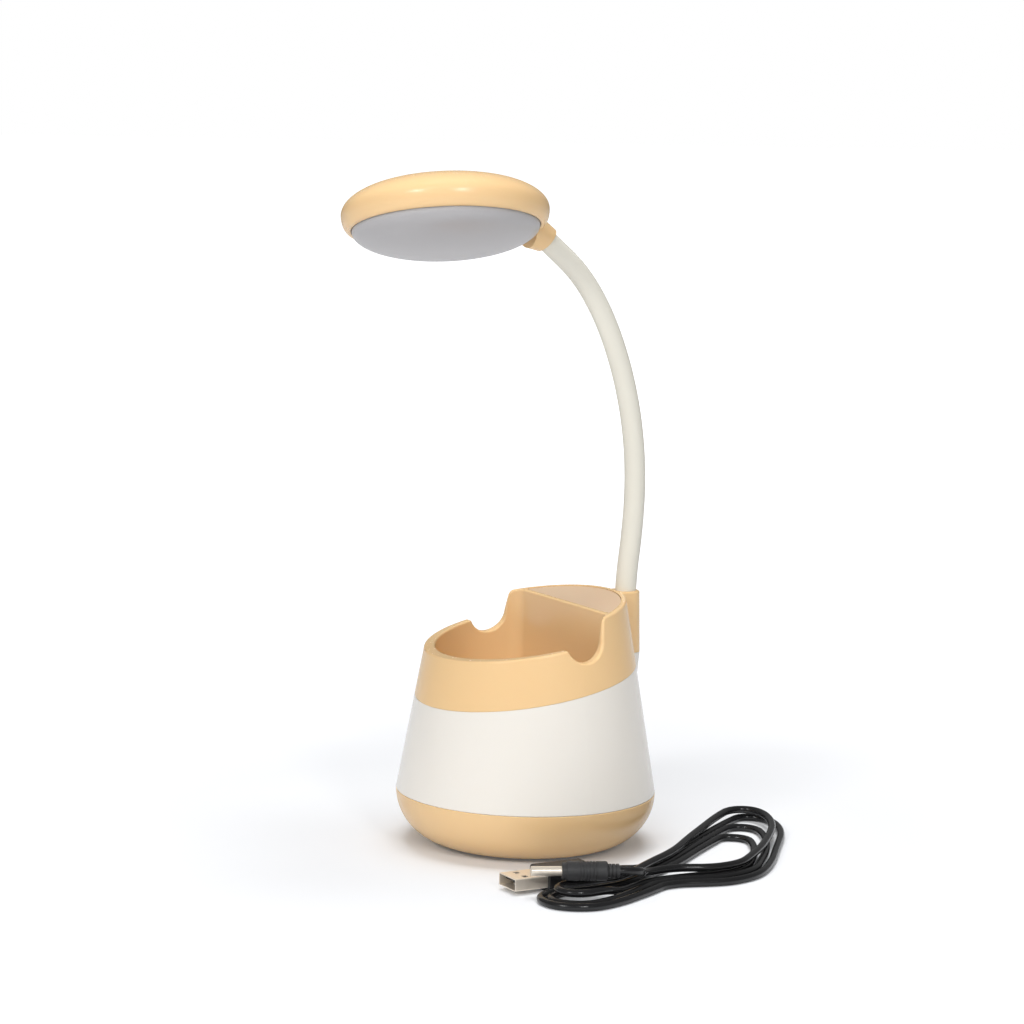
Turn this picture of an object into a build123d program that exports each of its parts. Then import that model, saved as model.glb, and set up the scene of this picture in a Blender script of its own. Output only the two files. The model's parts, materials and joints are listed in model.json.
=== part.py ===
from build123d import *
from math import atan2, cos, radians, sin, sqrt, tan
import os

os.makedirs("parts", exist_ok=True)

# Desk lamp with pen holder, in millimetres. The origin is the centre of the foot on the table,
# +Z is up and +Y points to the rear, where the flexible neck stands. The pot is symmetric about X = 0.

# Pot: a rounded tray, a conical shell and a cup, cut by three parallel slanted planes
seam_radius = 50.0
seam_height = 21.0
wall_draft = 10.0
foot_radius = 29.5
band_slant = 10.2
shell_height = 64.5
rim_height = 82.7
top_height = 90.6
tray_wall = 2.4
shell_wall = 2.2
spigot_length = 4.0
spigot_wall = 1.4
seat_gap = 0.15
rim_round = 0.9
well_round = 0.7
seam_round = 0.3

# Anti-slip pad and counterweight
pad_radius = 27.0
pad_thickness = 1.6
pad_proud = 0.8
weight_radius = 33.0
weight_thickness = 4.2

# Pen well with its flat rear wall
rim_wall = 2.9
well_draft = 0.6
well_floor = 26.0
well_wall = 1.8
chord_front = 14.5
chord_wall = 1.5
chord_corner = 6.0

# Phone notches in both side walls of the well
notch_centre = 1.8
notch_height = 84.3
notch_radius = 7.9
lip_front = -5.6
raised_edge = 10.8
lip_round = 1.2

# Touch panel on the raised rear part
panel_recess = 0.3
panel_thickness = 1.6
panel_border = 2.0
panel_front = 0.3
panel_gap = 0.15
ledge_width = 1.8
foil_radius = 6.3
foil_place = (2.0, 26.6)
foil_thickness = 0.2

# Neck lug at the rear of the pot
lug_radius = 5.5
lug_top = 96.1
lug_split = 71.9
lug_tail = 40.0
lug_top_offset = 42.9
lug_split_offset = 43.8
lug_tail_offset = 40.6
lug_wall = 1.6
lug_round = 0.8
shelf_top = 84.0
shelf_thickness = 4.5

# Flexible neck: equal links between ball joints, all inside one soft sleeve
link_pitch = 17.9
link_headings = [-7.0, -3.0, 3.7, 10.8, 17.5, 24.7, 34.6, 50.6]
first_joint_rise = 16.4
link_radius = 3.0
ball_radius = 2.2
ball_gap = 0.3
stem_radius = 1.7
cup_lip = 0.6
shoulder = 2.9
wire_bore = 1.1
grip_length = 7.0
sleeve_radius = 4.0
sleeve_bore = 3.5
sleeve_seat = 0.05
sleeve_end_gap = 0.4
lead_radius = 0.7
shank_radius = 2.0
nut_flats = 6.4
nut_height = 3.2
nut_gap = 0.5

# Lamp head, turned about the end of the neck
head_reach = (0.0, -45.5, 11.43)
head_pitch = -4.15
head_roll = -15.5
head_radius = 38.8
crown_reach = 26.2
crown_height = 11.1
opening_radius = 35.85
opening_depth = 5.9
head_wall = 2.0
lip_radius = 35.3
cavity_radius = 36.9
flange_seat = -4.2
diffuser_radius = 35.05
diffuser_depth = 9.65
diffuser_wall = 1.5
diffuser_flat = 1.5
flange_radius = 36.6
flange_thickness = 1.6
plate_radius = 30.0
plate_bottom = 1.0
plate_thickness = 1.2
led_height = 0.8
led_width = 2.8
led_length = 3.5
led_circles = (9.5, 17.5, 26.2)
led_counts = (6, 10, 16)
plate_screw_circle = 21.9
reflector_wall = 0.8

# Lug at the back of the head that takes the end of the neck
socket_radius = 5.3
socket_flare = 7.6
socket_start = 2.3
socket_length = 13.0
socket_rise = 37.0
socket_depth = 4.6
turn_gap = 0.3
grub_radius = 1.5
grub_place = 7.0
grub_length = 2.9

# Cell with its holder and the board behind the flat wall
cell_radius = 9.1
cell_length = 65.0
cell_place = (-8.5, 26.4, 8.6)
holder_wall = 1.2
board_size = (22.0, 1.2, 38.0)
board_place = (14.2, 30.0)
board_standoff = 2.4
plug_rise = 4.2
plug_height = 5.0
plug_spots = ((-2.2, 3.5, 6.0), (-1.7, 32.5, 8.4), (0.0, 23.0, 5.0), (6.3, 17.5, 5.0))

# Charging jack low at the rear of the shell
jack_height = 33.0
jack_body = (9.0, 8.0, 11.0)
jack_nose_radius = 3.9
jack_bore = 1.95
jack_pin_radius = 0.65
jack_pin_length = 7.0
jack_recess_radius = 5.6
jack_recess = 0.7

# Screws and their posts
screw_radius = 1.3
screw_gap = 0.1
screw_head_radius = 2.4
screw_head_height = 1.6
post_radius = 3.2
post_circle = 23.0
post_angles = (22.0, 158.0, -130.0, -50.0)
post_bottom = 8.0
tray_screw_length = 9.0
board_screw_length = 3.2
plate_screw_length = 5.0

# Charging cable with a plug at each end, laid as a hank of four loops in two layers
cord_diameter = 3.0
cord_pitch = 3.56
layer_rise = 3.45
dc_tip = (77.0, -42.0, 10.1)
dc_heading = 66.5
dc_barrel_radius = 1.78
dc_barrel_length = 11.2
dc_bore = 0.75
dc_body_radius = 3.58
dc_body_length = 16.7
dc_collar = (3.15, 1.5)
dc_relief_radius = 2.6
dc_relief_length = 4.4
dc_groove = 0.3
usb_centre = 66.5
usb_front = -45.6
usb_metal = (12.0, 13.6, 4.5)
usb_metal_wall = 0.35
usb_body = (15.0, 21.0, 8.0)
usb_tongue = (11.0, 11.0, 1.9)
usb_relief_length = 6.0
usb_relief_radius = 2.6

tilt = tan(radians(band_slant))
taper = tan(radians(wall_draft))
cord_radius = cord_diameter / 2
chord_rear = chord_front + chord_wall
well_radius = seam_radius - taper * (rim_height - seam_height) - rim_wall
body_inset = shell_wall + seat_gap + spigot_wall


def cone_radius(z, inset=0.0):
    return seam_radius - taper * (z - seam_height) - inset


def turned(*parts):
    """Solid of revolution about Z from a closed chain of edges drawn in the XZ plane."""
    return revolve(Plane.XZ * make_face(Curve() + list(parts)), Axis.Z)


def ring(*points):
    return turned(Polyline(*points, close=True))


def cone(z0, z1, inset=0.0):
    return ring((0, z0), (cone_radius(z0, inset), z0), (cone_radius(z1, inset), z1), (0, z1))


def yz_block(*points, half=90.0):
    """Block with a closed outline in the YZ plane, reaching equally to both sides."""
    return extrude(Plane.YZ * make_face(Polyline(*points, close=True)), half, both=True)


def above_plane(height, reach=90.0, top=150.0):
    """Space above a slanted plane that crosses the pot's axis at this height."""
    return yz_block((-reach, height - reach * tilt), (reach, height + reach * tilt), (reach, top), (-reach, top))


def between_planes(low, high, reach=90.0):
    rise = reach * tilt
    return yz_block((-reach, low - rise), (reach, low + rise), (reach, high + rise), (-reach, high - rise))


def cylinder(radius, z0, z1, x=0.0, y=0.0):
    return Pos(x, y, z0) * extrude(Circle(radius), z1 - z0)


def block(x0, x1, y0, y1, z0, z1):
    return Pos((x0 + x1) / 2, (y0 + y1) / 2, (z0 + z1) / 2) * Box(x1 - x0, y1 - y0, z1 - z0)


def along(start, direction, shape):
    """Carry a shape drawn along +Z to a point and a direction."""
    return Plane(origin=start, z_dir=direction) * shape


def polar(radius, angle):
    return radius * cos(radians(angle)), radius * sin(radians(angle))


def save(name, shape):
    solids = list(shape.solids())
    print(name, len(solids), "solid(s)", round(sum(s.volume for s in solids)), "mm3")
    export_step(solids[0] if len(solids) == 1 else Compound(children=solids), f"parts/{name}.step")


# Tray, pad and weight

def make_tray():
    floor = pad_proud
    arc_reach = seam_radius - foot_radius
    arc_height = seam_height - floor
    outside = turned(
        Line((0, floor), (foot_radius, floor)),
        EllipticalCenterArc((foot_radius, seam_height), arc_reach, arc_height, start_angle=270, arc_size=90),
        Line((seam_radius, seam_height), (0, seam_height)),
        Line((0, seam_height), (0, floor)),
    )
    inside = turned(
        Line((0, floor + tray_wall), (foot_radius, floor + tray_wall)),
        EllipticalCenterArc((foot_radius, seam_height), arc_reach - tray_wall, arc_height - tray_wall,
                            start_angle=270, arc_size=90),
        Line((seam_radius - tray_wall, seam_height), (0, seam_height)),
        Line((0, seam_height), (0, floor + tray_wall)),
    )
    tray = fillet((outside - inside).edges().group_by(Axis.Z)[-1].sort_by(Edge.length)[-1], seam_round)
    rim = seam_radius - shell_wall - seat_gap
    low = seam_height - 5.0
    high = seam_height + spigot_length
    tray += ring((rim - spigot_wall, low), (rim, low), (rim, seam_height), (rim - taper * spigot_length, high),
                 (rim - spigot_wall - taper * spigot_length, high))
    tray -= cylinder(pad_radius + seat_gap, 0, pad_thickness)
    for angle in post_angles:
        x, y = polar(post_circle, angle)
        tray += cylinder(post_radius + 0.3, floor + tray_wall - 0.5, post_bottom, x, y)
        tray -= cylinder(screw_head_radius + screw_gap, 0, post_bottom - 2.4, x, y)
        tray -= cylinder(screw_radius + screw_gap, 0, post_bottom + 1, x, y)
    return tray


def make_pad():
    return chamfer(cylinder(pad_radius, 0, pad_thickness).edges().group_by(Axis.Z)[0], 0.3)


def make_weight():
    low = pad_proud + tray_wall
    high = low + weight_thickness
    weight = ring((0, low), (28.5, low), (weight_radius, low + 1.6), (weight_radius, high), (0, high))
    for angle in post_angles:
        x, y = polar(post_circle, angle)
        weight -= cylinder(post_radius + 0.8, 0, high + 1, x, y)
    return weight


def screw(length, head_height=screw_head_height):
    """Pan-head screw along +Z with its head's seat at the origin."""
    body = cylinder(screw_radius, 0, length) + cylinder(screw_head_radius, -head_height, 0)
    body -= Pos(0, 0, -head_height + 0.4) * Box(2.8, 0.6, 0.9)
    body -= Pos(0, 0, -head_height + 0.4) * Box(0.6, 2.8, 0.9)
    return body


def make_tray_screws():
    seat = post_bottom - 2.4
    return [Pos(*polar(post_circle, angle), seat) * screw(tray_screw_length) for angle in post_angles]


# Shell and pen cup

def lug_section(z, offset, inset=0.0, depth=12.0):
    radius = lug_radius - inset
    outline = Curve() + [
        Line((-radius, offset - depth), (radius, offset - depth)),
        Line((radius, offset - depth), (radius, offset)),
        ThreePointArc((radius, offset), (0, offset + radius), (-radius, offset)),
        Line((-radius, offset), (-radius, offset - depth)),
    ]
    return Pos(0, 0, z) * make_face(outline)


def lug(z0, y0, z1, y1, inset=0.0, depth=12.0):
    return loft([lug_section(z0, y0, inset, depth), lug_section(z1, y1, inset, depth)])


def jack_place(outward=0.0):
    """Point on the shell's rear wall at the jack's height, and the wall's outward direction."""
    lean = radians(wall_draft)
    y = cone_radius(jack_height)
    return (0, y + outward * cos(lean), jack_height + outward * sin(lean)), (0, cos(lean), sin(lean))


def make_shell():
    low = seam_height
    outside = cone(low, 100.0) - above_plane(shell_height)
    outside = fillet(outside.edges().filter_by(lambda edge: edge.length > seam_radius), seam_round)
    tail = lug(lug_tail, lug_tail_offset, lug_split, lug_split_offset)
    tail -= above_plane(shell_height) & cone(30.0, 100.0)
    shell = outside + tail
    shell -= cone(low - 1, 100.0, shell_wall)
    shell -= lug(lug_tail + 8, lug_tail_offset + 0.7, lug_split + 0.01, lug_split_offset, lug_wall)
    nut_top = shelf_top - shelf_thickness
    shell -= cylinder(nut_flats / 2 + nut_gap, nut_top - nut_height - nut_gap, nut_top, 0, lug_top_offset)
    start, direction = jack_place(-jack_recess)
    shell -= along(start, direction, cylinder(jack_recess_radius, 0, 6))
    start, direction = jack_place(-6)
    shell -= along(start, direction, cylinder(jack_nose_radius + seat_gap, 0, 12))
    return shell


def cup_outline(bottom):
    """Outline in the YZ plane of the cup's rim, notch and raised rear above a bottom line."""
    arc_end = (notch_centre + notch_radius, notch_height)
    lip = (lip_front, notch_height - sqrt(notch_radius ** 2 - (lip_front - notch_centre) ** 2))
    front = (-90, lip[1] - (90 + lip_front) * tilt)
    corner = (raised_edge, top_height + raised_edge * tilt)
    rear = (90, top_height + 90 * tilt)
    outline = make_face(Curve() + [
        Polyline(front, (-90, bottom - 90 * tilt), (90, bottom + 90 * tilt), rear, corner, arc_end),
        ThreePointArc(arc_end, (notch_centre, notch_height - notch_radius), lip),
        Line(lip, front),
    ])
    soft = [v for v in outline.vertices() if min(abs(v.X - lip[0]), abs(v.X - corner[0])) < 0.01]
    outline = fillet(soft, lip_round)
    bend = [v for v in outline.vertices() if abs(v.X - arc_end[0]) < 0.01 and abs(v.Y - arc_end[1]) < 0.01]
    return extrude(Plane.YZ * fillet(bend, notch_radius / 2), 90, both=True)


def shared_edges(body, first, second, floor):
    """Edges of a body above a height that lie on the surfaces of two other solids."""
    sides = [Compound(children=other.faces()) for other in (first, second)]
    found = []
    for edge in body.edges():
        points = [edge @ place for place in (0.1, 0.5, 0.9)]
        if all(p.Z > floor and max(side.distance_to(Vertex(*p)) for side in sides) < 0.002 for p in points):
            found.append(edge)
    return found


def d_prism(radius_low, radius_high, z0, z1, chord, corner):
    """Tapered D-shaped core with its flat side to the rear."""
    faces = []
    for z, radius in ((z0, radius_low), (z1, radius_high)):
        reach = sqrt(radius ** 2 - chord ** 2)
        outline = Curve() + [
            ThreePointArc((-reach, chord), (0, -radius), (reach, chord)),
            Line((reach, chord), (-reach, chord)),
        ]
        face = make_face(outline)
        face = fillet(face.vertices(), corner)
        faces.append(Pos(0, 0, z) * face)
    return loft(faces)


def make_cup():
    top_seat = top_height - panel_recess - panel_thickness
    outside = cone(40.0, 130.0)
    outline = cup_outline(shell_height)
    cup = outside & outline
    cup = fillet(shared_edges(cup, outside, outline, rim_height - 12.0), rim_round)
    growth = tan(radians(well_draft))
    low_radius = well_radius - growth * (rim_height - well_floor)
    high_radius = well_radius + growth * (130.0 - rim_height)
    liner = d_prism(low_radius + well_wall, high_radius + well_wall, well_floor - well_wall, 130.0,
                    chord_rear, chord_corner + well_wall)
    cup += liner - above_plane(shell_height + 1.0)
    cup += cone(40.0, 100.0, shell_wall + seat_gap) & between_planes(shell_height - spigot_length, shell_height)
    cup -= cone(30.0, 140.0, body_inset) - liner
    upper_lug = lug(lug_split, lug_split_offset, lug_top, lug_top_offset)
    upper_lug = fillet(upper_lug.edges().group_by(Axis.Z)[-1].sort_by(Axis.Y)[1:], lug_round)
    cup += upper_lug - cone(40.0, 130.0, body_inset - 0.5)
    ledge = block(-40, 40, chord_rear - 0.5, chord_rear + panel_border + ledge_width, 60, 130)
    ledge = ledge & between_planes(top_seat - 1.6, top_seat) & cone(40.0, 130.0, body_inset - 0.5)
    cup += ledge
    cup -= panel_zone(panel_border) & between_planes(top_seat, 140.0)
    well = d_prism(low_radius, high_radius, well_floor, 130.0, chord_front, chord_corner)
    cup -= well
    cup = fillet(shared_edges(cup, well, outline, rim_height - 12.0), well_round)
    cup -= lug(lug_split - 8, lug_split_offset, shelf_top - shelf_thickness, lug_split_offset, lug_wall, depth=9.0)
    cup -= cylinder(sleeve_radius + seat_gap, shelf_top, 130, 0, lug_top_offset)
    cup -= cylinder(shank_radius + screw_gap, 60, 130, 0, lug_top_offset)
    for angle in post_angles:
        x, y = polar(post_circle, angle)
        cup += cylinder(post_radius, post_bottom, well_floor - 0.9, x, y)
        cup -= cylinder(screw_radius + screw_gap, 0, post_bottom + 9.0, x, y)
    return cup


# Touch panel, boards, cell and jack

def panel_zone(inset):
    low = chord_rear + panel_front + inset - panel_border
    return cone(40.0, 130.0, inset) & block(-60, 60, low, 60, 0, 200)


def make_panel():
    top = top_height - panel_recess
    return panel_zone(panel_border + panel_gap) & between_planes(top - panel_thickness, top)


def under_panel(x, y):
    """Frame on the underside of the panel, with +Z pointing down and away from it."""
    z = top_height - panel_recess - panel_thickness + y * tilt
    return Plane(origin=(x, y, z), x_dir=(1, 0, 0), z_dir=(0, tilt, -1))


def make_foil():
    return under_panel(*foil_place) * cylinder(foil_radius, 0, foil_thickness)


def make_touch_board():
    return under_panel(11.5, 24.0) * Pos(0, 0, foil_thickness + 0.5) * Box(10, 8, 1.0)


def board_front():
    return chord_rear + board_standoff


def board_holes():
    x, low = board_place
    return [(x + side * 8.5, low + rise) for side in (-1, 1) for rise in (3.0, board_size[2] - 3.0)]


def make_board():
    x, low = board_place
    y = board_front()
    board = block(x - board_size[0] / 2, x + board_size[0] / 2, y, y + board_size[1], low, low + board_size[2])
    for hx, hz in board_holes():
        board -= Pos(hx, y, hz) * Rot(X=-90) * cylinder(screw_radius + screw_gap, -1, 3)
    return board


def make_board_chips():
    x, low = board_place
    y = board_front() + board_size[1]
    parts = [
        block(x - 3, x + 3, y, y + 1.6, low + 11, low + 16),
        block(x - 9.5, x - 6, y, y + 1.3, low + 20, low + 23),
        block(x + 5.5, x + 9, y, y + 2.2, low + 25, low + 28.5),
    ]
    parts += [block(x - 9 + 4 * n, x - 7.4 + 4 * n, y, y + 0.6, low + 8.0, low + 8.9) for n in range(5)]
    parts.append(Pos(x - 6.5, y, low + 27.0) * Rot(X=-90) * cylinder(2.0, 0, 4.2))
    return parts


def plug_places():
    """Centres of the four plugs on the board: lower cell lead, upper cell and touch leads, lamp and jack."""
    x, low = board_place
    return [(x + across, low + rise) for across, rise, width in plug_spots]


def make_board_plugs():
    y = board_front() + board_size[1]
    half = plug_height / 2
    return [block(x - width / 2, x + width / 2, y, y + plug_rise, z - half, z + half)
            for (x, z), (across, rise, width) in zip(plug_places(), plug_spots)]


def make_board_screws():
    y = board_front() + board_size[1]
    return [Pos(hx, y, hz) * Rot(X=90) * screw(board_screw_length) for hx, hz in board_holes()]


def add_board_posts(cup):
    for hx, hz in board_holes():
        cup += Pos(hx, chord_rear - 0.5, hz) * Rot(X=-90) * cylinder(2.4, 0, board_standoff + 0.5)
        cup -= Pos(hx, chord_rear + 0.3, hz) * Rot(X=-90) * cylinder(screw_radius + screw_gap, 0, 6)
    return cup


def make_cell():
    x, y, z = cell_place
    cell = cylinder(cell_radius, z, z + cell_length, x, y)
    cell = fillet(cell.edges().filter_by(GeomType.CIRCLE), 0.8)
    return cell + cylinder(2.8, z + cell_length - 0.5, z + cell_length + 0.6, x, y)


def make_holder():
    x, y, z = cell_place
    low = z - 1.0
    high = z + cell_length + 1.0
    half = cell_radius + seat_gap + holder_wall
    front = chord_rear
    tray = block(x - half, x + half, front, y + 2.5, low, high)
    tray -= block(x - half + holder_wall, x + half - holder_wall, y - cell_radius - seat_gap, y + 20, z - 0.1,
                  z + cell_length + 0.1)
    tray -= cylinder(3.0, z + 20, high + 1, x, y)
    tray -= cylinder(cell_radius + seat_gap, z - 0.1, z + cell_length + 0.1, x, y)
    return tray


def make_jack():
    start, direction = jack_place()
    back = -(shell_wall + 0.3)
    width, depth, height = jack_body
    jack = Pos(0, 0, back - depth / 2) * Box(height, width, depth)
    jack = fillet(jack.edges().filter_by(Axis.Z), 0.8)
    jack += cylinder(jack_nose_radius, back - 0.1, -jack_recess)
    jack -= cylinder(jack_bore, back - depth + 1.2, 1)
    jack = along(start, direction, jack)
    pin = cylinder(jack_pin_radius, back - depth + 1.2, back - depth + 1.2 + jack_pin_length)
    pin = chamfer(pin.edges().group_by(Axis.Z)[-1], 0.2)
    return jack, along(start, direction, pin)


# Round leads with tangent bends

def bend_radii(points, factor=0.45):
    runs = [Vector(*b) - Vector(*a) for a, b in zip(points, points[1:])]
    radii = []
    for first, second in zip(runs, runs[1:]):
        half = radians(first.get_angle(second)) / 2
        radii.append(factor * min(first.length, second.length) / tan(half))
    return radii


def tube(path, radius):
    start = path @ 0
    face = Plane(origin=start, z_dir=path % 0) * Circle(radius)
    return sweep(face, path=path)


def lead(points, radius=lead_radius):
    if len(points) == 2:
        return tube(Line(*points), radius)
    radii = bend_radii(points)
    return tube(Wire(FilletPolyline(*points, radius=radii).edges()), radius)


# Flexible neck

def neck_direction(heading):
    return Vector(0, -sin(radians(heading)), cos(radians(heading)))


def neck_joints():
    points = [Vector(0, lug_top_offset, shelf_top + first_joint_rise)]
    for heading in link_headings:
        points.append(points[-1] + neck_direction(heading) * link_pitch)
    return points


joints = neck_joints()
neck_end = joints[-1]
end_direction = neck_direction(link_headings[-1])


def ball(height):
    return cylinder(stem_radius, height - shoulder - 0.2, height) + Pos(0, 0, height) * Sphere(ball_radius)


def ball_mouth(height):
    """Flared mouth of the wire's bore in a ball."""
    reach = ball_radius + 0.2
    return ring((0, height - 0.3), (wire_bore, height - 0.3), (wire_bore + 0.8, height + reach), (0, height + reach))


def make_neck_base():
    low = shelf_top
    top = shelf_top + first_joint_rise
    base = cylinder(sleeve_bore - sleeve_seat, low, low + grip_length) + cylinder(link_radius, low, top - shoulder)
    base += ball(top) + cylinder(shank_radius, low - 9.0, low)
    base -= cylinder(wire_bore, low - 20, top + 10) + ball_mouth(top)
    return Pos(0, lug_top_offset, 0) * base


def make_neck_nut():
    high = shelf_top - shelf_thickness
    nut = Pos(0, 0, high - nut_height) * extrude(RegularPolygon(nut_flats / 2, 6, major_radius=False), nut_height)
    nut -= cylinder(shank_radius + 0.05, high - 10, high + 1)
    return Pos(0, lug_top_offset, 0) * nut


def make_link(number):
    top = link_pitch
    last = number == len(link_headings)
    body = cylinder(link_radius, -cup_lip, top - (grip_length - 1.0 if last else shoulder))
    if last:
        body += cylinder(sleeve_bore - sleeve_seat, top - grip_length, top + socket_depth - turn_gap)
        groove = grub_radius + turn_gap
        for z0, z1, radius in ((0, grub_place - groove, shank_radius), (0, 10.0, shank_radius - 0.5),
                               (grub_place + groove, 10.0, shank_radius)):
            body += cylinder(radius, top + z0, top + z1)
    else:
        body += ball(top)
    body -= Sphere(ball_radius + ball_gap)
    body -= cylinder(wire_bore, -5, top + 20)
    if not last:
        body -= ball_mouth(top)
    body -= cylinder(sqrt((ball_radius + ball_gap) ** 2 - cup_lip ** 2), -cup_lip - 1, -cup_lip + 0.05)
    return along(joints[number - 1], neck_direction(link_headings[number - 1]), body)


def neck_points(below, beyond):
    return [Vector(0, lug_top_offset, below)] + joints[:-1] + [neck_end + end_direction * beyond]


def make_sleeve():
    points = neck_points(shelf_top + sleeve_end_gap, socket_depth - sleeve_end_gap)
    radii = bend_radii(points)
    radii[-1] *= 0.8
    path = Wire(FilletPolyline(*points, radius=radii).edges())
    face = Plane(origin=path @ 0, z_dir=path % 0) * (Circle(sleeve_radius) - Circle(sleeve_bore))
    return sweep(face, path=path)


# Lamp head

head_centre = neck_end + Vector(*head_reach)
head_frame = Pos(*head_centre) * Rot(Y=head_roll) * Rot(X=head_pitch)
crown_radius = head_radius - crown_reach


def head_outside():
    lip = head_radius - opening_radius
    return turned(
        Line((0, crown_height), (crown_radius, crown_height)),
        EllipticalCenterArc((crown_radius, 0), crown_reach, crown_height, start_angle=0, arc_size=90),
        EllipticalCenterArc((opening_radius, 0), lip, opening_depth, start_angle=270, arc_size=90),
        Line((opening_radius, -opening_depth), (0, -opening_depth)),
        Line((0, -opening_depth), (0, crown_height)),
    )


def head_cavity():
    reach = crown_reach - head_wall
    height = crown_height - head_wall
    dome = turned(
        Line((0, height), (crown_radius, height)),
        EllipticalCenterArc((crown_radius, 0), reach, height, start_angle=0, arc_size=90),
        Line((crown_radius + reach, 0), (0, 0)),
        Line((0, 0), (0, height)),
    )
    return dome + cylinder(cavity_radius, flange_seat, 0.1) + cylinder(lip_radius, -opening_depth - 1, flange_seat)


def socket():
    rise = radians(socket_rise)
    direction = Vector(0, -cos(rise), sin(rise))
    down = Vector(0, -sin(rise), -cos(rise))
    near = Plane(origin=neck_end + direction * socket_start, x_dir=(1, 0, 0), z_dir=direction)
    far = Plane(origin=neck_end + direction * socket_length + down * (socket_flare - socket_radius),
                x_dir=(1, 0, 0), z_dir=direction)
    return loft([near * Circle(socket_radius), far * Circle(socket_flare)])


def plate_spots():
    return [polar(plate_screw_circle, angle) for angle in (30, 150, 270)]


def make_head_cover():
    body = (head_frame * head_outside()) + socket()
    plate_top = plate_bottom + plate_thickness
    body -= head_frame * head_cavity()
    body -= head_frame * cylinder(opening_radius + 0.6, -40, -opening_depth)
    for x, y in plate_spots():
        body += head_frame * cylinder(post_radius, plate_top, crown_height - head_wall, x, y)
        body -= head_frame * cylinder(screw_radius + screw_gap, plate_top - 1, plate_top + 5.2, x, y)
    body -= along(neck_end, end_direction, cylinder(sleeve_radius + seat_gap, -5, socket_depth))
    body -= along(neck_end, end_direction, cylinder(shank_radius + turn_gap, 0, 16))
    start, direction = grub_frame()
    body -= along(start, direction, cylinder(grub_radius + screw_gap, 0, 12))
    return body


def grub_frame():
    """Point on the neck's end axis and the direction out of the lug's upper rear side."""
    heading = radians(link_headings[-1])
    return neck_end + end_direction * grub_place, Vector(0, cos(heading), sin(heading))


def make_grub_screw():
    start, direction = grub_frame()
    low = shank_radius - 0.5 + turn_gap
    body = cylinder(grub_radius, low, low + grub_length)
    body -= Pos(0, 0, low + grub_length) * extrude(RegularPolygon(0.75, 6), -1.2)
    return along(start, direction, body)


def make_diffuser():
    bottom = -opening_depth
    inner_radius = diffuser_radius - diffuser_wall
    inner_depth = diffuser_depth - diffuser_wall
    top = flange_seat + flange_thickness
    flat = diffuser_flat
    return head_frame * turned(
        Line((0, bottom - diffuser_depth), (flat, bottom - diffuser_depth)),
        EllipticalCenterArc((flat, bottom), diffuser_radius - flat, diffuser_depth, start_angle=270, arc_size=90),
        Polyline((diffuser_radius, bottom), (diffuser_radius, flange_seat), (flange_radius, flange_seat),
                 (flange_radius, top), (inner_radius, top), (inner_radius, bottom)),
        EllipticalCenterArc((flat, bottom), inner_radius - flat, inner_depth, start_angle=270, arc_size=90),
        Line((flat, bottom - inner_depth), (0, bottom - inner_depth)),
        Line((0, bottom - inner_depth), (0, bottom - diffuser_depth)),
    )


def make_plate():
    plate = cylinder(plate_radius, plate_bottom, plate_bottom + plate_thickness)
    for x, y in plate_spots():
        plate -= cylinder(screw_radius + screw_gap, -5, 5, x, y)
    return head_frame * plate


def make_leds():
    chips = []
    for circle, count in zip(led_circles, led_counts):
        for n in range(count):
            x, y = polar(circle, 360 * n / count + 11)
            chip = Box(led_width, led_length, led_height)
            place = Pos(x, y, plate_bottom - led_height / 2) * Rot(Z=360 * n / count + 11)
            chips.append(head_frame * place * chip)
    return chips


def make_reflector():
    skirt = flange_seat + flange_thickness
    low = plate_bottom - reflector_wall
    return head_frame * ring((28.3, plate_bottom), (28.3, low), (30.1, low), (34.9, skirt), (35.9, skirt),
                             (30.6, plate_bottom))


def make_plate_screws():
    return [head_frame * Pos(x, y, plate_bottom) * screw(plate_screw_length) for x, y in plate_spots()]


def head_point(x, y, z):
    return (head_frame * Pos(x, y, z)).position


def make_neck_lead():
    top = plate_bottom + plate_thickness + lead_radius + 0.05
    points = neck_points(74.0, 20.0) + [head_point(0, 25.5, top + 1.0), head_point(0, 17.0, top)]
    radii = [min(radius, 12.0) for radius in bend_radii(points)]
    return tube(Wire(FilletPolyline(*points, radius=radii).edges()), lead_radius)


# Charging cable

def arc_edge(start, tangent, end):
    """Arc from a point and its tangent to another point, or a line where they lie straight."""
    chord = end - start
    ahead = chord.normalized()
    side = tangent - ahead * tangent.dot(ahead)
    if side.length < 1e-5:
        return Line(start, end)
    turn = atan2(side.length, tangent.dot(ahead))
    return ThreePointArc(start, (start + end) / 2 + side.normalized() * (chord.length / 2 * tan(turn / 2)), end)


def biarc(first, second):
    """Two arcs that join two stations, tangent to both headings and to each other."""
    (p0, t0), (p1, t1) = first, second
    gap = p1 - p0
    total = t0 + t1
    spread = 2 * (1 - t0.dot(t1))
    along_gap = gap.dot(total)
    square = gap.dot(gap)
    reach = square / (2 * along_gap) if spread < 1e-9 else (sqrt(along_gap ** 2 + spread * square) - along_gap) / spread
    middle = (p0 + p1 + (t0 - t1) * reach) / 2
    back = arc_edge(p1, t1 * -1, middle)
    return [arc_edge(p0, t0, middle), Edge.make_three_point_arc(middle, back @ 0.5, p1)
            if back.geom_type == GeomType.CIRCLE else Line(middle, p1)]


def station(x, y, heading, layer=0, inset=0.0, height=None):
    """Point of the cable's centreline, moved to its left by a number of cable pitches."""
    turn = radians(heading)
    shift = cord_pitch * inset
    z = cord_radius + layer * layer_rise if height is None else height
    return Vector(x - sin(turn) * shift, y + cos(turn) * shift, z), Vector(cos(turn), sin(turn), 0)


def left_fold(inset):
    return [station(76.1, -14, 275, 0, inset), station(76.5, -30, 279, 0, inset), station(88.2, -42.6, 0, 0, inset),
            station(101.2, -25, 102, 0, inset)]


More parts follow.
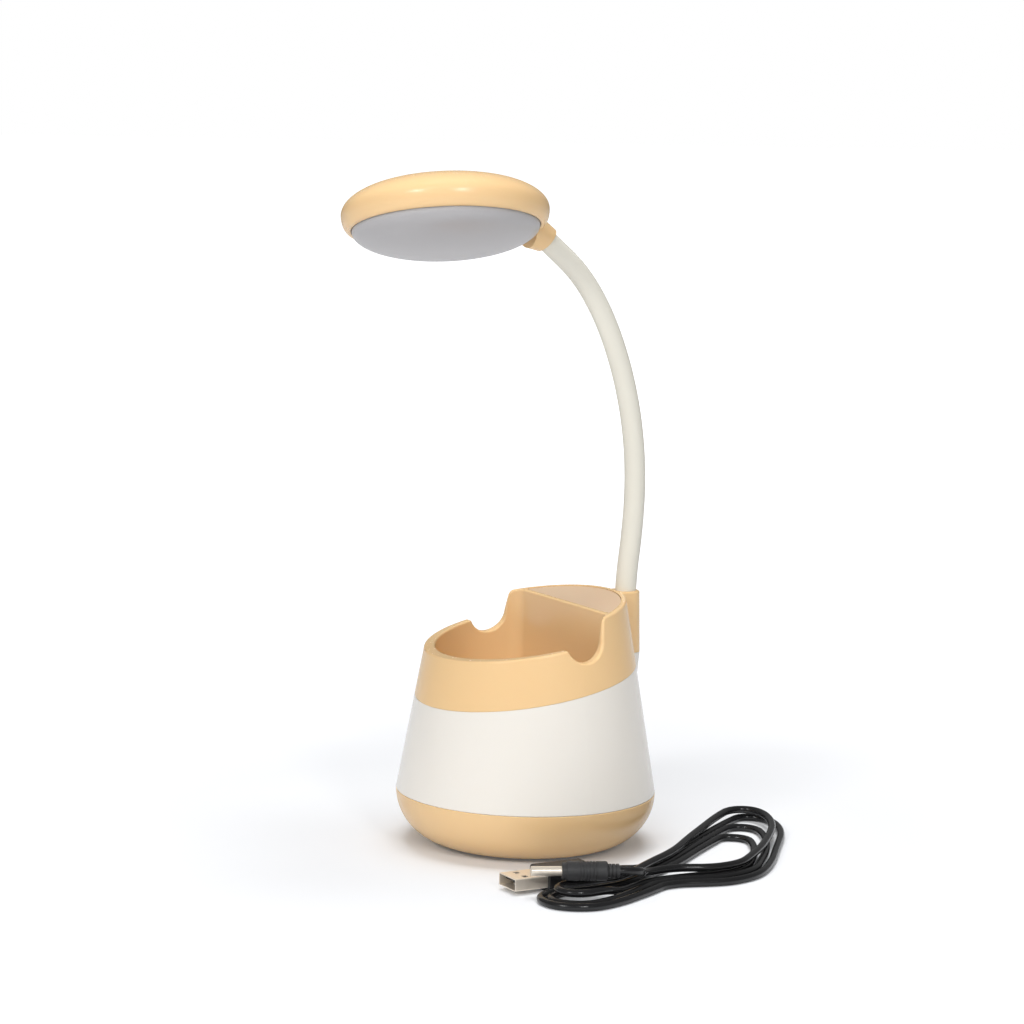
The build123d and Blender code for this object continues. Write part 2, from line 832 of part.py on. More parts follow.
def near_run(inset):
    return [station(91, 0, 117, 0, inset * 1.14), station(86, 12, 92, 0, inset)]


def far_run(inset):
    return [station(38, 49, 306.5, 0, inset), station(58, 21, 300, 0, inset)]


def hank_stations():
    upper = [station(77.5, 12, 100, 1), station(82, 40, 97, 1), station(70, 60, 132, 1), station(17, 100.5, 160, 1),
             station(7.7, 88.1, 306, 1), station(34, 56.5, 311, 1), station(61, 24, 302, 1)]
    upper_fold = [station(81.0, -15, 275, 1), station(81.2, -28.2, 273, 1), station(88.4, -36.2, 0, 1),
                  station(95.4, -27, 99, 1)]
    inner = [station(77.8, 46, 104), station(61.6, 65.2, 142), station(42.7, 76.9, 157), station(28.2, 62.5, 306, 0, 2)]
    middle = [station(83.4, 45, 104), station(64.0, 68.3, 139), station(30, 89.9, 158), station(18, 77, 305, 0, 1)]
    outer = [station(92, 27, 65), station(93.6, 40, 104), station(67.6, 72.0, 140), station(18, 104.0, 162),
             station(7.6, 92.6, 302), station(18, 77, 305)]
    return (upper + upper_fold + near_run(2) + inner + far_run(2) + left_fold(1) + near_run(1) + middle + far_run(1)
            + left_fold(0) + near_run(0) + outer + far_run(0))


def cord(stations):
    edges = [edge for pair in zip(stations, stations[1:]) for edge in biarc(*pair)]
    return Wire([Edge(e.wrapped) for e in edges]), min(e.radius for e in edges if e.geom_type == GeomType.CIRCLE)


def least_gap(wire, skip=12.0, step=0.8):
    """Least distance between parts of the cable's surface that lie further apart along it than the skip."""
    count = int(wire.length / step)
    points = [wire.position_at(n / count) for n in range(count + 1)]
    cells = {}
    least = 99.0
    for n, point in enumerate(points):
        key = (int(point.X // 4), int(point.Y // 4), int(point.Z // 4))
        for dx in (-1, 0, 1):
            for dy in (-1, 0, 1):
                for dz in (-1, 0, 1):
                    for other in cells.get((key[0] + dx, key[1] + dy, key[2] + dz), ()):
                        if (n - other) * step > skip:
                            least = min(least, (point - points[other]).length)
        cells.setdefault(key, []).append(n)
    return least - cord_diameter


def dc_frame():
    turn = radians(dc_heading)
    return Vector(*dc_tip), Vector(cos(turn), sin(turn), 0)


def make_dc_plug():
    start, direction = dc_frame()
    barrel_end = dc_barrel_length
    body_end = barrel_end + dc_body_length
    relief_end = body_end + dc_relief_length
    barrel = cylinder(dc_barrel_radius, 0, barrel_end) - cylinder(1.45, -1, barrel_end + 1)
    barrel = fillet(barrel.edges().group_by(Axis.Z)[0], 0.15)
    insulator = cylinder(1.4, 0.2, barrel_end) - cylinder(dc_bore, -1, barrel_end - 1.0)
    collar_radius, collar_length = dc_collar
    body = cylinder(dc_body_radius, barrel_end + collar_length, body_end)
    body = fillet(body.edges().group_by(Axis.Z)[0], 0.35)
    body = fillet(body.edges().group_by(Axis.Z)[-1], 0.9)
    collar = cylinder(collar_radius, barrel_end, barrel_end + collar_length + 0.5)
    body += fillet(collar.edges().group_by(Axis.Z)[0], 0.3)
    for n in range(6):
        z = barrel_end + 6.3 + 1.17 * n
        body -= cylinder(dc_body_radius + 1, z, z + 0.45) - cylinder(dc_body_radius - dc_groove, z, z + 0.45)
    relief = cylinder(dc_relief_radius - 0.5, body_end, relief_end)
    for n in range(3):
        z = body_end + 0.3 + 1.4 * n
        relief += cylinder(dc_relief_radius, z, z + 0.95)
    return [along(start, direction, part) for part in (barrel, insulator, body, relief)]


def make_usb_plug():
    width, length, height = usb_metal
    joint = usb_front + length
    low = (usb_body[2] - height) / 2
    x = usb_centre
    metal = block(x - width / 2, x + width / 2, usb_front, joint, low, low + height)
    metal = fillet(metal.edges().filter_by(Axis.Y), 0.4)
    wall = usb_metal_wall
    metal -= block(x - width / 2 + wall, x + width / 2 - wall, usb_front - 1, joint + 1, low + wall, low + height - wall)
    for side in (-1, 1):
        metal -= block(x + side * 3.0 - 1.2, x + side * 3.0 + 1.2, usb_front + 4.6, usb_front + 6.6, 0, 20)
    top = low + height - wall
    width, length, height = usb_tongue
    tongue = block(x - width / 2, x + width / 2, joint - length, joint, top - height, top)
    contacts = [block(x + px - 0.6, x + px + 0.6, joint - length + 0.8, joint - 1.0, top - height - 0.12, top - height)
                for px in (-3.5, -1.2, 1.2, 3.5)]
    width, length, height = usb_body
    body = block(x - width / 2, x + width / 2, joint, joint + length, 0, height)
    body = fillet(body.edges().filter_by(Axis.Y), 1.6)
    body = fillet(body.edges().group_by(Axis.Y)[-1], 1.0)
    body = fillet(body.edges().group_by(Axis.Y)[0], 0.4)
    rear = joint + length
    relief = cylinder(usb_relief_radius - 0.6, 0, usb_relief_length)
    for n in range(3):
        z = 0.3 + 2.0 * n
        relief += cylinder(usb_relief_radius - 0.15 * n, z, z + 1.2)
    relief = Pos(x, rear, usb_body[2] / 2) * Rot(X=-90) * relief
    return metal, tongue, contacts, body, relief


save("base_tray", make_tray())
save("foot_pad", make_pad())
save("counterweight", make_weight())
save("tray_screws", Compound(children=make_tray_screws()))
save("outer_shell", make_shell())
save("pen_cup", add_board_posts(make_cup()))
save("top_panel", make_panel())
save("touch_foil", make_foil())
save("touch_board", make_touch_board())
save("main_board", make_board())
save("board_chips", Compound(children=make_board_chips()))
save("board_plugs", Compound(children=make_board_plugs()))
save("board_screws", Compound(children=make_board_screws()))
save("battery_cell", make_cell())
save("cell_holder", make_holder())
jack, jack_pin = make_jack()
save("charging_jack", jack)
save("jack_pin", jack_pin)

plug_y = board_front() + board_size[1] + plug_rise / 2
plug_top = plug_y + plug_rise / 2
half_plug = plug_height / 2
(low_x, low_z), (high_x, high_z), (lamp_x, lamp_z), (jack_x, jack_z) = plug_places()
holder_side = cell_place[0] + cell_radius + seat_gap + holder_wall
cell_foot = cell_place[2] + 5.4
cell_head = cell_place[2] + cell_length - 2.1
lead_rise = 3.0
nut_bottom = shelf_top - shelf_thickness - nut_height
touch_low = top_height - panel_recess - panel_thickness - foil_thickness - 1.25 + plug_y * tilt
jack_start, jack_direction = jack_place()
jack_back = Vector(*jack_start) - Vector(*jack_direction) * (shell_wall + 0.3 + jack_body[1])
jack_side = jack_back + Vector(2.5, 0, 0)
save("lamp_lead", lead([(0, lug_top_offset, nut_bottom - 2.3), (0, lug_top_offset, lamp_z + 7),
                        (lamp_x / 2, lug_top_offset - 5, lamp_z - 1), (lamp_x, plug_top + 7.2, lamp_z),
                        (lamp_x, plug_top, lamp_z)]))
save("cell_lead_low", lead([(holder_side, plug_y, cell_foot), (low_x, plug_y, cell_foot),
                            (low_x, plug_y, low_z - half_plug)]))
lead_top = max(cell_head, high_z + half_plug + lead_rise)
save("cell_lead_top", lead([(holder_side, plug_y, cell_head), (high_x - 3.5, plug_y, lead_top),
                            (high_x - 3.5, plug_y, high_z + half_plug)]))
save("touch_lead", lead([(high_x + 3.0, plug_y, touch_low), (high_x + 3.0, plug_y, high_z + half_plug)]))
save("jack_lead", lead([jack_side, jack_side - Vector(*jack_direction) * 5.5, (low_x, plug_top + 7.2, jack_z - 8.5),
                        (jack_x, plug_top + 7.7, jack_z), (jack_x, plug_top, jack_z)]))

save("neck_base", make_neck_base())
save("neck_nut", make_neck_nut())
for number in range(1, len(link_headings) + 1):
    save(f"neck_link_{number}", make_link(number))
save("neck_sleeve", make_sleeve())
save("neck_lead", make_neck_lead())

save("head_cover", make_head_cover())
save("diffuser", make_diffuser())
save("led_plate", make_plate())
save("led_chips", Compound(children=make_leds()))
save("reflector", make_reflector())
save("plate_screws", Compound(children=make_plate_screws()))
save("grub_screw", make_grub_screw())

barrel, insulator, plug_body, plug_relief = make_dc_plug()
save("dc_barrel", barrel)
save("dc_insulator", insulator)
save("dc_body", plug_body)
save("dc_relief", plug_relief)
metal, tongue, contacts, usb_moulding, usb_relief = make_usb_plug()
save("usb_metal", metal)
save("usb_tongue", tongue)
save("usb_contacts", Compound(children=contacts))
save("usb_body", usb_moulding)
save("usb_relief", usb_relief)

dc_start, dc_direction = dc_frame()
dc_exit = dc_start + dc_direction * (dc_barrel_length + dc_body_length + dc_relief_length)
usb_exit_y = usb_front + usb_metal[1] + usb_body[1] + usb_relief_length
hank = hank_stations()
lead_in = [(dc_exit, dc_direction), hank[0]]
lead_out = [hank[-1], station(usb_centre, usb_exit_y, 270, height=usb_body[2] / 2)]
for name, stations in (("cable_hank", hank), ("cable_lead_dc", lead_in), ("cable_lead_usb", lead_out)):
    wire, tightest = cord(stations)
    print(name, "length", round(wire.length), "tightest bend", round(tightest, 1),
          "least gap to itself", round(least_gap(wire), 2))
    face = Plane(origin=wire @ 0, z_dir=wire % 0) * Circle(cord_radius)
    save(name, sweep(face, path=wire))
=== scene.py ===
import json
from math import cos, pi, radians, sin, sqrt

import bmesh
import bpy
from mathutils import Matrix, Vector


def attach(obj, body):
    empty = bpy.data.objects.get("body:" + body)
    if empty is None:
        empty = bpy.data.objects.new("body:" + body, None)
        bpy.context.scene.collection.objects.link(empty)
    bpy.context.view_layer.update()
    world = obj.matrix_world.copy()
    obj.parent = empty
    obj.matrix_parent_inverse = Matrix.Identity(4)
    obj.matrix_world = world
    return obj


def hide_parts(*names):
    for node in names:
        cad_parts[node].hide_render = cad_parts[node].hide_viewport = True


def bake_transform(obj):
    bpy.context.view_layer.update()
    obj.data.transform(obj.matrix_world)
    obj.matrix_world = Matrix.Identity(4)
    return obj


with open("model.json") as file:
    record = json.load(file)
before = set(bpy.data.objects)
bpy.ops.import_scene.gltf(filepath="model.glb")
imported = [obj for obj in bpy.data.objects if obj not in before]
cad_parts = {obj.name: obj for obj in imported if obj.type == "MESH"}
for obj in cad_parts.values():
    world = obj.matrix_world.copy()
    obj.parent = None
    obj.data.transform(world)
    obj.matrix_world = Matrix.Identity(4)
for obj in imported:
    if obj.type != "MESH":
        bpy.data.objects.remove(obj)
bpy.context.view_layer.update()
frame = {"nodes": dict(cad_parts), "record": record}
nodes = frame["nodes"]
scene = bpy.context.scene
print("frame loaded with", len(nodes), "nodes")


# Camera

cameraPlace = {
    "eye": (1.02622, -0.60156, 0.28673),
    "heading": 150.0,  # direction of view seen from above, from +X towards +Y
    "dip": 7.581,
    "roll": 1.438,
    "lens": 110.42,
    "sensorWidth": 36,
    "clipEnd": 30,
}


def makeCamera(place):
    heading, dip, roll = (radians(place[key]) for key in ("heading", "dip", "roll"))
    forward = Vector((cos(heading) * cos(dip), sin(heading) * cos(dip), -sin(dip)))
    levelRight = Vector((sin(heading), -cos(heading), 0))
    levelUp = levelRight.cross(forward)
    right = levelRight * cos(roll) + levelUp * sin(roll)
    up = levelUp * cos(roll) - levelRight * sin(roll)
    data = bpy.data.cameras.new("frontCamera")
    data.lens = place["lens"]
    data.sensor_width = place["sensorWidth"]
    data.clip_end = place["clipEnd"]
    camera = bpy.data.objects.new("frontCamera", data)
    turned = Matrix((right, up, -forward)).transposed().to_4x4()
    camera.matrix_world = Matrix.Translation(place["eye"]) @ turned
    scene.collection.objects.link(camera)
    scene.camera = camera


makeCamera(cameraPlace)
print("camera placed")


# Charging cable: a hank of four loops in two layers between its two plugs

cable = {
    "diameter": 0.003,
    "pitch": 0.00356,  # between neighbouring strands
    "layerRise": 0.00345,
    "length": 1.26,
    "plugTip": (0.077, -0.042, 0.0101),
    "plugHeading": 66.5,
    "plugLength": 0.0323,
    "usbExit": (0.0665, -0.005, 0.004),
    "usbHeading": 270,
    "nearFan": 1.14,  # the strands stand this much further apart where they leave the left fold
    "curveSteps": 8,
    "roundness": 6,
}

# places on the cable's middle and its heading there: x, y, degrees from +X towards +Y
hank = {
    "upper": ((0.0775, 0.012, 100), (0.082, 0.04, 97), (0.07, 0.06, 132), (0.017, 0.1005, 160),
              (0.0077, 0.0881, 306), (0.034, 0.0565, 311), (0.061, 0.024, 302), (0.081, -0.015, 275),
              (0.0812, -0.0282, 273), (0.0884, -0.0362, 0), (0.0954, -0.027, 99)),
    "leftFold": ((0.0761, -0.014, 275), (0.0765, -0.03, 279), (0.0882, -0.0426, 0), (0.1012, -0.025, 102)),
    "nearRun": ((0.091, 0, 117), (0.086, 0.012, 92)),
    "farRun": ((0.038, 0.049, 306.5), (0.058, 0.021, 300)),
    # the lower layer's loops: how many strands inwards, the turn, and where the run back starts
    "loops": (
        (2, ((0.0778, 0.046, 104), (0.0616, 0.0652, 142), (0.0427, 0.0769, 157)), (0.0282, 0.0625, 306)),
        (1, ((0.0834, 0.045, 104), (0.064, 0.0683, 139), (0.03, 0.0899, 158)), (0.018, 0.077, 305)),
        (0, ((0.0895, 0.028, 74), (0.0897, 0.042, 107), (0.0664, 0.0713, 141), (0.018, 0.104, 162),
             (0.0076, 0.0926, 302)), (0.018, 0.077, 305)),
    ),
}


def headingWay(heading):
    return Vector((cos(radians(heading)), sin(radians(heading)), 0))


def station(place, layer=0, inset=0.0):
    x, y, heading = place
    way = headingWay(heading)
    shift = cable["pitch"] * inset
    height = cable["diameter"] / 2 + layer * cable["layerRise"]
    return Vector((x - way.y * shift, y + way.x * shift, height)), way


def hankStations():
    made = [station(place, layer=1) for place in hank["upper"]]
    leaving, along = hank["nearRun"]
    for inset, turn, back in hank["loops"]:
        made += [station(leaving, inset=inset * cable["nearFan"]), station(along, inset=inset)]
        made += [station(place) for place in turn]
        made += [station(place, inset=inset) for place in (back, *hank["farRun"])]
        if inset:
            made += [station(place, inset=inset - 1) for place in hank["leftFold"]]
    return made


def routeCorners(stations):
    # two control points between neighbouring stations, on their headings and equally far from them
    points = [stations[0][0]]
    for (start, startWay), (end, endWay) in zip(stations, stations[1:]):
        gap = end - start
        spread = 2 * (1 - startWay.dot(endWay))
        slope = gap.dot(startWay + endWay)
        square = gap.dot(gap)
        parallel = spread < 1e-9
        reach = square / (2 * slope) if parallel else (sqrt(slope ** 2 + spread * square) - slope) / spread
        points += [start + startWay * reach, end - endWay * reach]
    return points + [stations[-1][0]]


def makeCable():
    plugWay = headingWay(cable["plugHeading"])
    plugExit = Vector(cable["plugTip"]) + plugWay * cable["plugLength"]
    usbEnd = (Vector(cable["usbExit"]), headingWay(cable["usbHeading"]))
    points = routeCorners([(plugExit, plugWay)] + hankStations() + [usbEnd])
    data = bpy.data.curves.new("chargingCable", "CURVE")
    data.dimensions = "3D"
    spline = data.splines.new("NURBS")
    spline.points.add(len(points) - 1)
    for target, point in zip(spline.points, points):
        target.co = (*point, 1)
        target.radius = cable["diameter"] / 2
    spline.order_u = 3
    spline.use_endpoint_u = True
    spline.resolution_u = cable["curveSteps"]
    data.bevel_depth = 1.0  # times each point's radius
    data.bevel_resolution = cable["roundness"]
    data.use_fill_caps = True
    cord = bpy.data.objects.new("chargingCable", data)
    scene.collection.objects.link(cord)
    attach(cord, "pot")
    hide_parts("cable_hank", "cable_lead_dc", "cable_lead_usb")
    return cord


cord = makeCable()
print("cable laid")


# Neck: one soft sleeve and the wires inside it, cut at the middle of every link so that each length curves
# through one joint; only the last length follows its link

neck = {
    "foot": (0.0, 0.0429, 0.0844),
    "firstJoint": (0.0, 0.0429, 0.1004),
    "pitch": 0.0179,
    "headings": (-7.0, -3.0, 3.7, 10.8, 17.5, 24.7, 34.6, 50.6),  # of each link, forward from upright
    "headEnd": 0.0042,
    "sleeveRadius": 0.0041,
    "sleeveBore": 0.0034,
    "sleeveSides": 56,
    "wireRadius": 0.0007,
    "wireSides": 16,
    "ringSpacing": 0.0007,
    "fewestSteps": 8,
}


def linkWay(heading):
    return Vector((0, -sin(radians(heading)), cos(radians(heading))))


def neckJoints():
    points = [Vector(neck["firstJoint"])]
    for heading in neck["headings"]:
        points.append(points[-1] + linkWay(heading) * neck["pitch"])
    return points


def softRun(start, corner, end):
    # points and directions on the smooth curve from start to end that leaves and arrives towards corner
    steps = max(neck["fewestSteps"], round((end - start).length / neck["ringSpacing"]))
    run = []
    for n in range(steps + 1):
        t = n / steps
        point = start * (1 - t) ** 2 + corner * 2 * t * (1 - t) + end * t ** 2
        way = (corner - start) * (1 - t) + (end - corner) * t
        run.append((point, way.normalized()))
    return run


def makeTubePiece(name, run, radius, sides, bore=0.0):
    bm = bmesh.new()
    across = Vector((1, 0, 0))

    def rings(size):
        made = []
        for point, way in run:
            side = way.cross(across)
            turns = [2 * pi * n / sides for n in range(sides)]
            made.append([bm.verts.new(point + (across * cos(turn) + side * sin(turn)) * size) for turn in turns])
        return made

    def wall(tube, flip):
        for low, high in zip(tube, tube[1:]):
            for n in range(sides):
                m = (n + 1) % sides
                corners = (low[n], low[m], high[m], high[n])
                bm.faces.new(corners[::-1] if flip else corners)

    outer = rings(radius)
    inner = rings(bore) if bore else []
    wall(outer, False)
    wall(inner, True)
    ends = []
    for end in (0, -1):
        if bore:
            for n in range(sides):
                m = (n + 1) % sides
                ends.append(bm.faces.new((outer[end][n], outer[end][m], inner[end][m], inner[end][n])))
        else:
            ends.append(bm.faces.new(outer[end]))
    bmesh.ops.recalc_face_normals(bm, faces=bm.faces)
    # the cut ends are flat with sharp edges, so that one length shades into the next
    for face in bm.faces:
        face.smooth = True
    for face in ends:
        face.smooth = False
        for edge in face.edges:
            edge.smooth = False
    mesh = bpy.data.meshes.new(name)
    bm.to_mesh(mesh)
    bm.free()
    piece = bpy.data.objects.new(name, mesh)
    scene.collection.objects.link(piece)
    return piece


def makeLength(number, run):
    sleeve = makeTubePiece(
        f"neckSleeve_{number}", run, neck["sleeveRadius"], neck["sleeveSides"], neck["sleeveBore"])
    wire = makeTubePiece(f"neckWire_{number}", run, neck["wireRadius"], neck["wireSides"])
    return sleeve, wire


def makeNeck():
    joints = neckJoints()
    middles = [(low + high) / 2 for low, high in zip(joints, joints[1:])]
    bodies = ["pot"] + [f"link_{n}" for n in range(1, len(middles) + 1)]
    foot = Vector(neck["foot"])
    baseTop = joints[0] - Vector((0, 0, neck["pitch"] / 2))
    lengths = []
    starts = [baseTop] + middles[:-1]
    for n, (start, joint, end) in enumerate(zip(starts, joints, middles)):
        run = softRun(start, joint, end)
        if n == 0:
            run = softRun(foot, (foot + start) / 2, start)[:-1] + run
        lengths.append(makeLength(n + 1, run))
        for piece in lengths[-1]:
            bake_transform(piece)
    last = middles[-1]
    end = joints[-1] + linkWay(neck["headings"][-1]) * neck["headEnd"]
    lengths.append(makeLength(len(joints), softRun(last, (last + end) / 2, end)))
    for piece in lengths[-1]:
        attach(piece, bodies[-1])
    for sleeve, wire in lengths:
        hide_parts("neck_sleeve")
        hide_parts("neck_lead")
    return lengths


neckLengths = makeNeck()
print("neck sleeve made in", len(neckLengths), "lengths")


# Shared surface effects

def feed(tree, socket, value):
    # a number or a colour is set on the socket, and another socket is linked to it
    if isinstance(value, tuple):
        socket.default_value = (*value, 1)
    elif isinstance(value, (int, float)):
        socket.default_value = value
    else:
        tree.links.new(value, socket)


def newGroup(name, inputs, outputs):
    group = bpy.data.node_groups.new(name, "ShaderNodeTree")
    for socketName, kind, value in inputs:
        socket = group.interface.new_socket(name=socketName, in_out="INPUT", socket_type=kind)
        socket.default_value = value
    for socketName, kind in outputs:
        group.interface.new_socket(name=socketName, in_out="OUTPUT", socket_type=kind)
    start = group.nodes.new("NodeGroupInput")
    end = group.nodes.new("NodeGroupOutput")
    return group, start.outputs, end.inputs


def objectPlace(tree):
    return tree.nodes.new("ShaderNodeTexCoord").outputs["Object"]


def noise(tree, vector, scale, detail, roughness=0.5):
    node = tree.nodes.new("ShaderNodeTexNoise")
    node.inputs["Detail"].default_value = detail
    node.inputs["Roughness"].default_value = roughness
    tree.links.new(vector, node.inputs["Vector"])
    feed(tree, node.inputs["Scale"], scale)
    return node.outputs["Fac"]


def stretched(tree, vector, scale, turn=(0, 0, 0)):
    node = tree.nodes.new("ShaderNodeMapping")
    node.inputs["Scale"].default_value = scale
    node.inputs["Rotation"].default_value = turn
    tree.links.new(vector, node.inputs["Vector"])
    return node.outputs[0]


def maths(tree, operation, first, second, clamp=False):
    node = tree.nodes.new("ShaderNodeMath")
    node.operation = operation
    node.use_clamp = clamp
    for socket, value in zip(node.inputs, (first, second)):
        feed(tree, socket, value)
    return node.outputs[0]


def spread(tree, value, low, high):
    # low and what is under it gives 0, high and what is over it gives 1
    node = tree.nodes.new("ShaderNodeMapRange")
    node.clamp = True
    tree.links.new(value, node.inputs["Value"])
    for name, bound in (("From Min", low), ("From Max", high)):
        node.inputs[name].default_value = bound
    return node.outputs["Result"]


def blendColours(tree, mask, first, second):
    node = tree.nodes.new("ShaderNodeMix")
    node.data_type = "RGBA"
    for name, value in (("Factor", mask), ("A", first), ("B", second)):
        feed(tree, next(s for s in node.inputs if s.name == name and s.enabled), value)
    return next(s for s in node.outputs if s.enabled)


# noises are scale, detail and roughness; ranges are where a mask starts and where it is full
mouldedDetail = {
    "tint": (14.0, 3),
    "cloud": (55.0, 4),
    "grainDetail": 2,
    "scratch": (420.0, 5, 0.6),
    "scratchStretch": (1, 1, 0.12),
    "scratchTurn": (0.5, 0.3, 0.9),
    "scratchRange": (0.63, 0.72),
    "patch": (28.0, 2),
    "patchRange": (0.5, 0.72),
    "upwardRange": (0.75, 1.0),
    "speck": (900.0, 2),
    "speckRange": (0.6, 0.75),
    "dustColour": (0.82, 0.8, 0.77),
    "valueDrift": 2.0,
    "saturationDrift": -1.5,
    "scuffRoughness": 0.2,
    "scuffHeight": -2.0,
}


def makeMouldedGroup():
    # moulded surface: slow tint drift, fine spark-eroded grain, faint scuffs and a little dust on upward faces
    group, given, out = newGroup(
        "mouldedSurface",
        [("Colour", "NodeSocketColor", (0.8, 0.8, 0.8, 1)),
         ("Worn Colour", "NodeSocketColor", (0.9, 0.9, 0.9, 1)),
         ("Tint Drift", "NodeSocketFloat", 0.05), ("Grain Scale", "NodeSocketFloat", 2500.0),
         ("Roughness", "NodeSocketFloat", 0.4), ("Roughness Drift", "NodeSocketFloat", 0.06),
         ("Scuffs", "NodeSocketFloat", 0.2), ("Dust", "NodeSocketFloat", 0.03)],
        [("Colour", "NodeSocketColor"), ("Roughness", "NodeSocketFloat"), ("Height", "NodeSocketFloat")],
    )
    detail = mouldedDetail
    link = group.links.new

    def times(first, second):
        return maths(group, "MULTIPLY", first, second)

    def plus(first, second, clamp=False):
        return maths(group, "ADD", first, second, clamp)

    def offMiddle(value):
        return maths(group, "SUBTRACT", value, 0.5)

    place = objectPlace(group)
    tint = noise(group, place, *detail["tint"])
    cloud = noise(group, place, *detail["cloud"])
    grain = noise(group, place, given["Grain Scale"], detail["grainDetail"])

    along = stretched(group, place, detail["scratchStretch"], detail["scratchTurn"])
    scratch = spread(group, noise(group, along, *detail["scratch"]), *detail["scratchRange"])
    patch = spread(group, noise(group, place, *detail["patch"]), *detail["patchRange"])
    scuff = times(times(scratch, patch), given["Scuffs"])

    facing = group.nodes.new("ShaderNodeSeparateXYZ")
    link(group.nodes.new("ShaderNodeNewGeometry").outputs["Normal"], facing.inputs[0])
    upward = spread(group, facing.outputs["Z"], *detail["upwardRange"])
    speck = spread(group, noise(group, place, *detail["speck"]), *detail["speckRange"])
    dust = times(times(upward, speck), given["Dust"])

    drift = times(offMiddle(tint), given["Tint Drift"])
    shade = group.nodes.new("ShaderNodeHueSaturation")
    link(given["Colour"], shade.inputs["Color"])
    link(plus(times(drift, detail["valueDrift"]), 1.0), shade.inputs["Value"])
    link(plus(times(drift, detail["saturationDrift"]), 1.0), shade.inputs["Saturation"])
    worn = blendColours(group, scuff, shade.outputs[0], given["Worn Colour"])
    link(blendColours(group, dust, worn, detail["dustColour"]), out["Colour"])

    rough = plus(given["Roughness"], times(offMiddle(cloud), given["Roughness Drift"]))
    rough = plus(rough, times(scuff, detail["scuffRoughness"]))
    link(plus(rough, dust, clamp=True), out["Roughness"])
    link(plus(grain, times(scuff, detail["scuffHeight"])), out["Height"])
    return group


metalDetail = {
    "streakStretch": (1, 0.06, 1),
    "streakDetail": 3,
    "streakRoughness": 0.6,
    "cloud": (260.0, 4, 0.6),
    "cloudRange": (0.45, 0.8),
    "cloudDulling": 0.1,
}


def makeMetalGroup():
    # metal: brushed streaks along one axis and clouds of tarnish
    group, given, out = newGroup(
        "workedMetal",
        [("Colour", "NodeSocketColor", (0.7, 0.7, 0.7, 1)),
         ("Tarnish Colour", "NodeSocketColor", (0.4, 0.36, 0.3, 1)),
         ("Tarnish", "NodeSocketFloat", 0.25), ("Streak Scale", "NodeSocketFloat", 1800.0),
         ("Roughness", "NodeSocketFloat", 0.25), ("Streaks", "NodeSocketFloat", 0.12)],
        [("Colour", "NodeSocketColor"), ("Roughness", "NodeSocketFloat"), ("Height", "NodeSocketFloat")],
    )
    detail = metalDetail
    link = group.links.new
    place = objectPlace(group)
    along = stretched(group, place, detail["streakStretch"])
    streak = noise(group, along, given["Streak Scale"], detail["streakDetail"], detail["streakRoughness"])
    cloud = spread(group, noise(group, place, *detail["cloud"]), *detail["cloudRange"])
    tarnish = maths(group, "MULTIPLY", cloud, given["Tarnish"])
    link(blendColours(group, tarnish, given["Colour"], given["Tarnish Colour"]), out["Colour"])
    rough = maths(group, "MULTIPLY", maths(group, "SUBTRACT", streak, 0.5), given["Streaks"])
    rough = maths(group, "ADD", given["Roughness"], rough)
    dulling = maths(group, "MULTIPLY", cloud, detail["cloudDulling"])
    link(maths(group, "ADD", rough, dulling, clamp=True), out["Roughness"])
    link(streak, out["Height"])
    return group


moulded = makeMouldedGroup()
worked = makeMetalGroup()
print("surface effects built")


# Finishes

def newMaterial(name, plain):
    # plain: values set on the shader itself
    material = bpy.data.materials.new(name)
    material.use_nodes = True
    tree = material.node_tree
    shader = next(node for node in tree.nodes if node.type == "BSDF_PRINCIPLED")
    for socket, value in plain.items():
        shader.inputs[socket].default_value = value
    return material, tree, shader


def addBump(tree, shader, height, bump, softEdge=0):
    node = tree.nodes.new("ShaderNodeBump")
    for socket, value in zip(("Strength", "Distance"), bump):
        node.inputs[socket].default_value = value
    tree.links.new(height, node.inputs["Height"])
    if softEdge:
        rounded = tree.nodes.new("ShaderNodeBevel")
        rounded.samples = 6
        rounded.inputs["Radius"].default_value = softEdge
        tree.links.new(rounded.outputs["Normal"], node.inputs["Normal"])
    tree.links.new(node.outputs["Normal"], shader.inputs["Normal"])


def surfaced(name, look, plain, group, given):
    # given: which of the look's values goes into which socket of the surface effect
    material, tree, shader = newMaterial(name, plain)
    effect = tree.nodes.new("ShaderNodeGroup")
    effect.node_tree = group
    for socket, key in given.items():
        feed(tree, effect.inputs[socket], look[key])
    tree.links.new(effect.outputs["Colour"], shader.inputs["Base Color"])
    tree.links.new(effect.outputs["Roughness"], shader.inputs["Roughness"])
    addBump(tree, shader, effect.outputs["Height"], look["bump"], look["softEdge"])
    return material


plasticBase = {"gloss": 0.5, "glow": 0.0, "glowDepth": 0.002, "glowColour": (1.0, 0.6, 0.4), "coat": 0.0,
               "coatRoughness": 0.08}


def mouldedPlastic(name, look):
    look = {**plasticBase, **look}
    plain = {"Specular IOR Level": look["gloss"], "Subsurface Weight": look["glow"],
             "Subsurface Scale": look["glowDepth"], "Subsurface Radius": look["glowColour"],
             "Coat Roughness": look["coatRoughness"], "Coat Weight": look["coat"]}
    given = {"Colour": "colour", "Worn Colour": "worn", "Tint Drift": "drift", "Grain Scale": "grain",
             "Roughness": "roughness", "Roughness Drift": "roughDrift", "Scuffs": "scuffs", "Dust": "dust"}
    return surfaced(name, look, plain, moulded, given)


def metal(name, look):
    given = {"Colour": "colour", "Tarnish Colour": "tarnishColour", "Tarnish": "tarnish",
             "Streak Scale": "grain", "Roughness": "roughness", "Streaks": "streaks"}
    return surfaced(name, look, {"Metallic": look["metallic"]}, worked, given)


